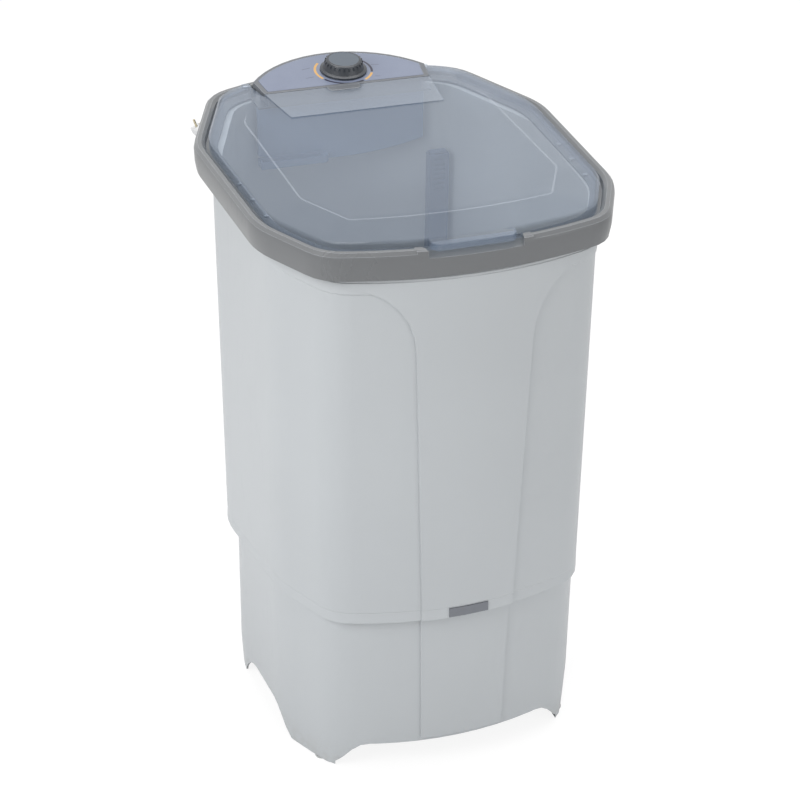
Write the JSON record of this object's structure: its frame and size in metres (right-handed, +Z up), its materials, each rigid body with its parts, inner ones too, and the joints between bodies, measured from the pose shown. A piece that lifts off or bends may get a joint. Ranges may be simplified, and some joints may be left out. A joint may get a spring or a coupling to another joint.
{
  "type": "semi-automatic washing machine",
  "caption": "Tall eight-sided top-loading washing machine with a grey rim, a smoky see-through lid, a rear timer panel and a belt-driven pulsator tub.",
  "frame": {"origin": "on the floor, at the middle of the machine's width and depth", "axes": "+Z up, the bowed front with the arches faces -Y, the timer panel is at +Y"},
  "size_m": [0.6032, 0.75, 1.0058],
  "materials": {
    "white_plastic": "satin",
    "grey_plastic": "satin",
    "lid_plastic": "smoky translucent",
    "tub_plastic": "satin",
    "blue_plastic": "satin",
    "pulsator_plastic": "satin",
    "panel_print": "printed film",
    "knob_plastic": "satin",
    "badge_metal": "brushed",
    "steel": "plain",
    "cast_metal": "cast",
    "bronze": "sintered",
    "dark_plastic": "plain",
    "black_rubber": "matt",
    "pale_rubber": "matt",
    "painted_sheet": "painted",
    "cord_white": "satin",
    "plug_metal": "plain"
  },
  "bodies": {
    "cabinet": {"cabinet": "white_plastic", "base_cabinet": "white_plastic", "tub": "tub_plastic", "top_rim": "grey_plastic", "hinge_pins": "steel", "panel_housing": "grey_plastic", "panel_overlay": "panel_print", "timer_body": "dark_plastic", "panel_screws": "steel", "splash_cover": "blue_plastic", "soap_tray": "blue_plastic", "filter_channel": "blue_plastic", "bearing_housing": "cast_metal", "shaft_bushes": "bronze", "shaft_seal": "black_rubber", "bearing_bolts": "steel", "drive_belt": "black_rubber", "motor_stator": "steel", "motor_housing": "cast_metal", "motor_end_plate": "cast_metal", "rubber_mounts": "black_rubber", "motor_bolts": "steel", "motor_tray": "painted_sheet", "capacitor": "dark_plastic", "capacitor_clip": "dark_plastic", "drain_grid": "dark_plastic", "drain_pipe": "dark_plastic", "drain_outlet": "dark_plastic", "rear_cover": "dark_plastic", "rear_cover_screws": "steel", "foot_pads": "pale_rubber", "badge_plate": "badge_metal", "seam_screws": "steel", "rim_screws": "steel", "cord_gland": "dark_plastic", "power_cord": "cord_white", "plug_body": "cord_white", "plug_pins": "plug_metal", "plug_holder": "white_plastic"},
    "lid": {"lid": "lid_plastic"},
    "knob": {"timer_knob": "knob_plastic", "timer_shaft": "steel"},
    "pulsator": {"pulsator": "pulsator_plastic", "pulsator_cap": "pulsator_plastic", "pulsator_bolt": "steel", "pulsator_shaft": "steel", "driven_pulley": "dark_plastic", "pulley_nut": "steel"},
    "rotor": {"motor_rotor": "steel", "motor_pulley": "cast_metal"},
    "filter": {"lint_filter": "blue_plastic"}
  },
  "joints": [
    {"name": "lid_hinge", "type": "hinge", "parent": "cabinet", "child": "lid", "pos_m": [0, 0.313, 0.965], "axis": [-1, 0, 0], "range_deg": [0, 98]},
    {"name": "timer_turn", "type": "hinge", "parent": "cabinet", "child": "knob", "pos_m": [0.009, 0.29966, 0.982], "axis": [0, 0.1132, -0.9936], "range_deg": [0, 330]},
    {"name": "motor_spin", "type": "hinge", "parent": "cabinet", "child": "rotor", "pos_m": [0, 0.172, 0.15], "axis": [0, 0, 1], "continuous": true},
    {"name": "pulsator_spin", "type": "hinge", "parent": "cabinet", "child": "pulsator", "pos_m": [0, 0, 0.3], "axis": [0, 0, 1], "continuous": true},
    {"name": "filter_lift", "type": "slide", "parent": "cabinet", "child": "filter", "axis": [0, 0, 1], "range_m": [0, 0.1]}
  ],
  "couplings": [
    {"joint": "pulsator_spin", "follows": "motor_spin", "ratio": 0.2097}
  ]
}
